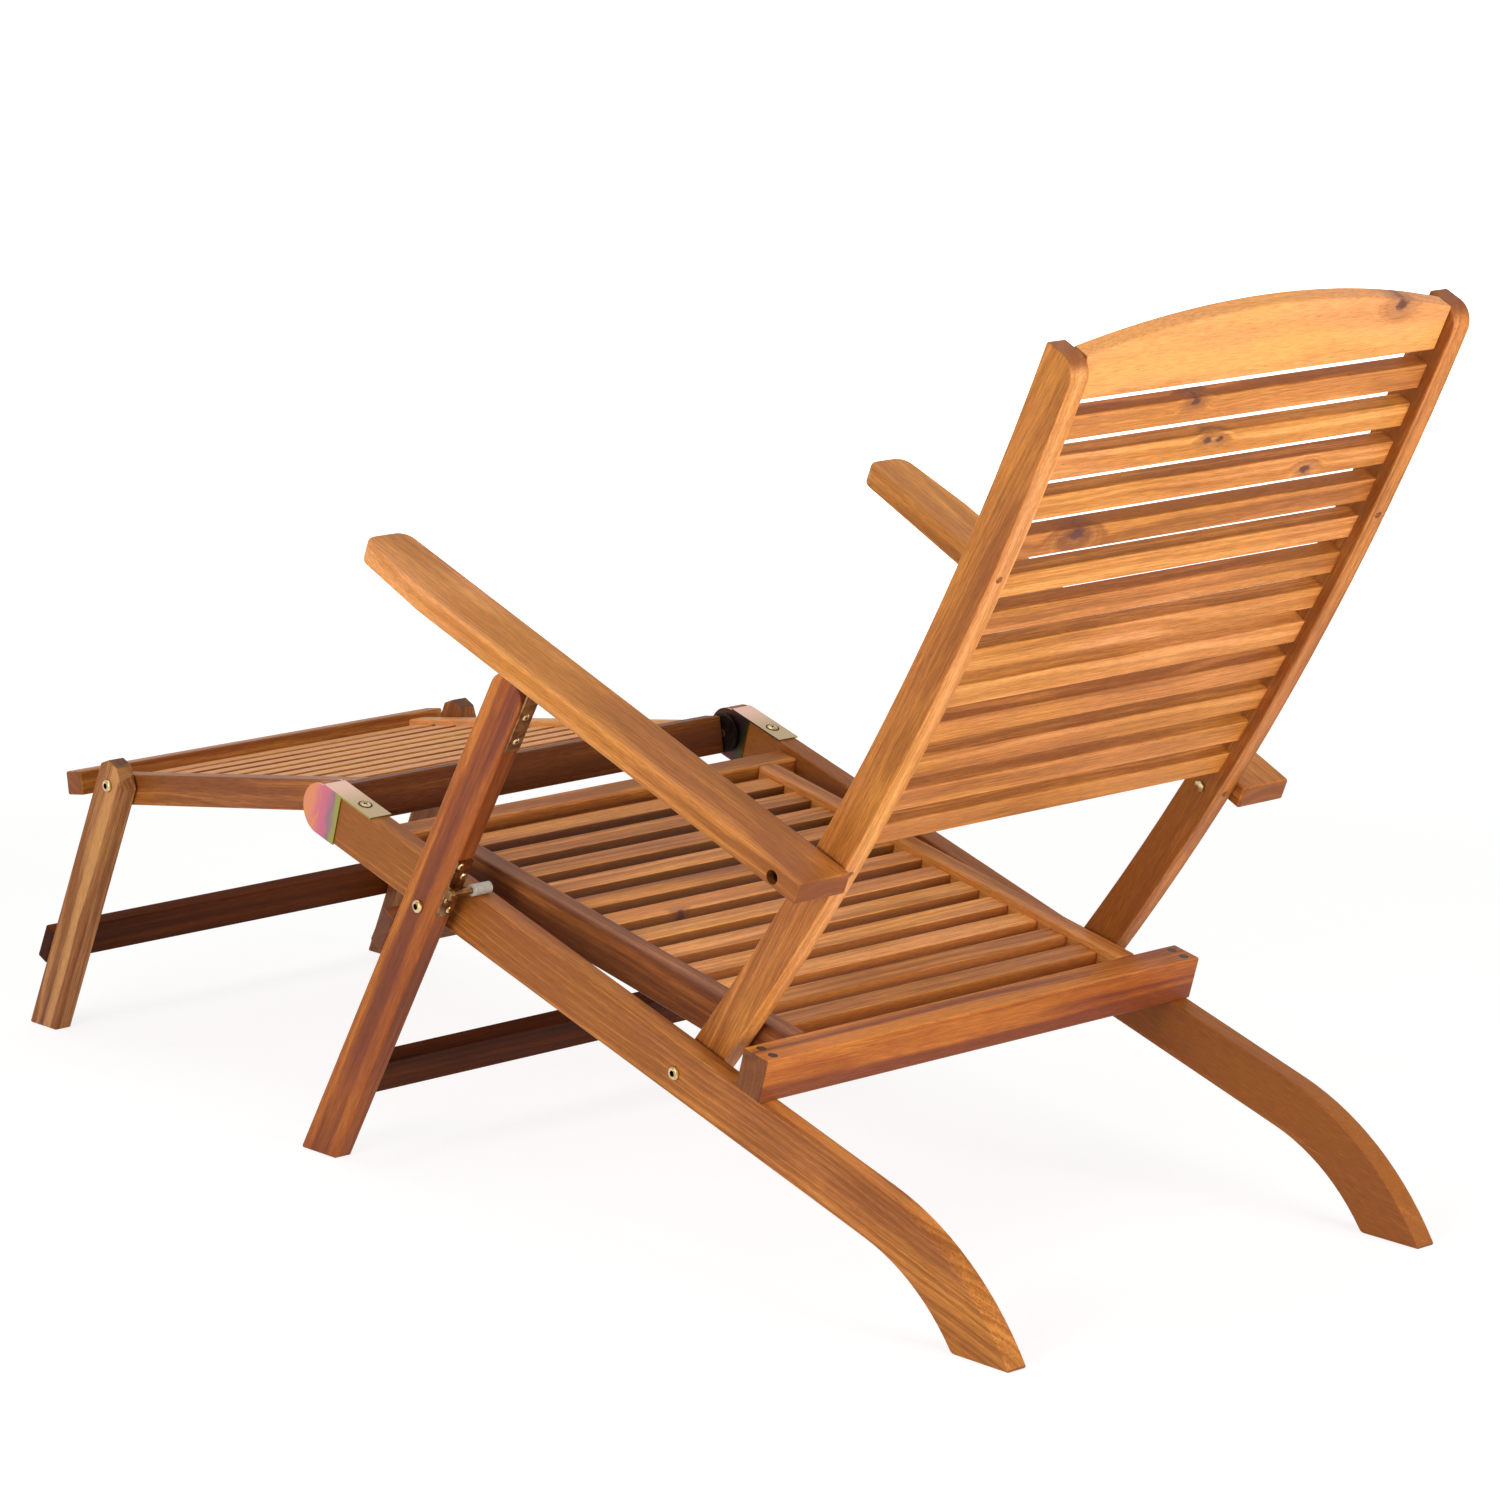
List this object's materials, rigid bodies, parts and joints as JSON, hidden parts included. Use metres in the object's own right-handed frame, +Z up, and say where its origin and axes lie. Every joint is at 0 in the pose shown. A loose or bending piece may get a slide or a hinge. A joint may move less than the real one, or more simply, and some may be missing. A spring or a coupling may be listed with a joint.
{
  "type": "steamer deck chair",
  "caption": "Folding wooden steamer deck chair with slatted seat and curved slatted back, two armrests and a slatted footrest on its own folding legs.",
  "frame": {"origin": "on the floor, midway along the chair and midway between its two sides", "axes": "+Z up; the sitter faces -Y, the backrest is towards +Y; +X is the sitter's left"},
  "size_m": [0.6832, 1.5138, 0.8904],
  "materials": {
    "acacia": "oiled satin",
    "leg_wood": "oiled satin",
    "dark_wood": "oiled satin",
    "plug_wood": "oiled satin",
    "zinc": "yellow zinc plating",
    "plastic": "matt"
  },
  "bodies": {
    "base": {"side_rail_left": "acacia", "side_rail_right": "acacia", "seat_side_left": "acacia", "seat_side_right": "acacia", "seat_front_plank": "acacia", "seat_rear_rail": "acacia", "seat_slats": "acacia", "seat_rear_rail_plugs": "plug_wood", "hinge_cap_left": "zinc", "hinge_cap_right": "zinc", "hinge_cap_screws": "zinc", "hinge_pins": "zinc", "leg_pivot_bolts": "zinc", "leg_pivot_spacers": "zinc", "back_pivot_bolts": "zinc", "back_pivot_washers": "zinc"},
    "front_legs": {"front_leg_left": "leg_wood", "front_leg_right": "leg_wood", "front_leg_upper_bar": "leg_wood", "front_leg_lower_bar": "leg_wood", "stop_plates": "zinc", "stop_pins": "zinc", "stop_sleeves": "plastic", "stop_plate_screws": "zinc", "leg_hinge_leaves": "zinc", "leg_hinge_screws": "zinc"},
    "backrest": {"back_stile_left": "acacia", "back_stile_right": "acacia", "back_crest": "acacia", "back_slat_01": "acacia", "back_slat_02": "acacia", "back_slat_03": "acacia", "back_slat_04": "acacia", "back_slat_05": "acacia", "back_slat_06": "acacia", "back_slat_07": "acacia", "back_slat_08": "acacia", "back_slat_09": "acacia", "back_slat_10": "acacia", "back_slat_11": "acacia", "back_slat_12": "acacia", "back_stile_plugs": "plug_wood"},
    "armrest_left": {"armrest_left": "acacia", "arm_bolt_left": "zinc", "arm_hinge_leaf_left": "zinc", "arm_hinge_screws_left": "zinc"},
    "armrest_right": {"armrest_right": "acacia", "arm_bolt_right": "zinc", "arm_hinge_leaf_right": "zinc", "arm_hinge_screws_right": "zinc"},
    "footrest": {"footrest_rear_rail": "acacia", "footrest_front_rail": "dark_wood", "footrest_side_left": "acacia", "footrest_side_right": "acacia", "footrest_slats": "acacia", "footrest_discs": "zinc"},
    "footrest_legs": {"footrest_leg_left": "leg_wood", "footrest_leg_right": "leg_wood", "footrest_leg_bar": "dark_wood", "footrest_leg_bolts": "zinc"}
  },
  "joints": [
    {"name": "front_legs_fold", "type": "hinge", "parent": "base", "child": "front_legs", "pos_m": [0, -0.02649, 0.2709], "axis": [1, 0, 0], "range_deg": [0, 84]},
    {"name": "backrest_fold", "type": "hinge", "parent": "base", "child": "backrest", "pos_m": [0, 0.29386, 0.17288], "axis": [1, 0, 0], "range_deg": [0, 88]},
    {"name": "armrest_left_fold", "type": "hinge", "parent": "backrest", "child": "armrest_left", "pos_m": [0, 0.46214, 0.38836], "axis": [1, 0, 0], "range_deg": [-86.57, 0]},
    {"name": "armrest_right_fold", "type": "hinge", "parent": "backrest", "child": "armrest_right", "pos_m": [0, 0.46214, 0.38836], "axis": [1, 0, 0], "range_deg": [-86.57, 0]},
    {"name": "footrest_lift", "type": "hinge", "parent": "base", "child": "footrest", "pos_m": [0, -0.2125, 0.326], "axis": [-1, 0, 0], "range_deg": [0, 60]},
    {"name": "footrest_legs_fold", "type": "hinge", "parent": "footrest", "child": "footrest_legs", "pos_m": [0, -0.60941, 0.27538], "axis": [1, 0, 0], "range_deg": [0, 118]}
  ],
  "couplings": [
    {"joint": "backrest_fold", "follows": "front_legs_fold", "ratio": 1.047},
    {"joint": "armrest_left_fold", "follows": "front_legs_fold", "ratio": -1.03},
    {"joint": "armrest_right_fold", "follows": "front_legs_fold", "ratio": -1.03}
  ]
}
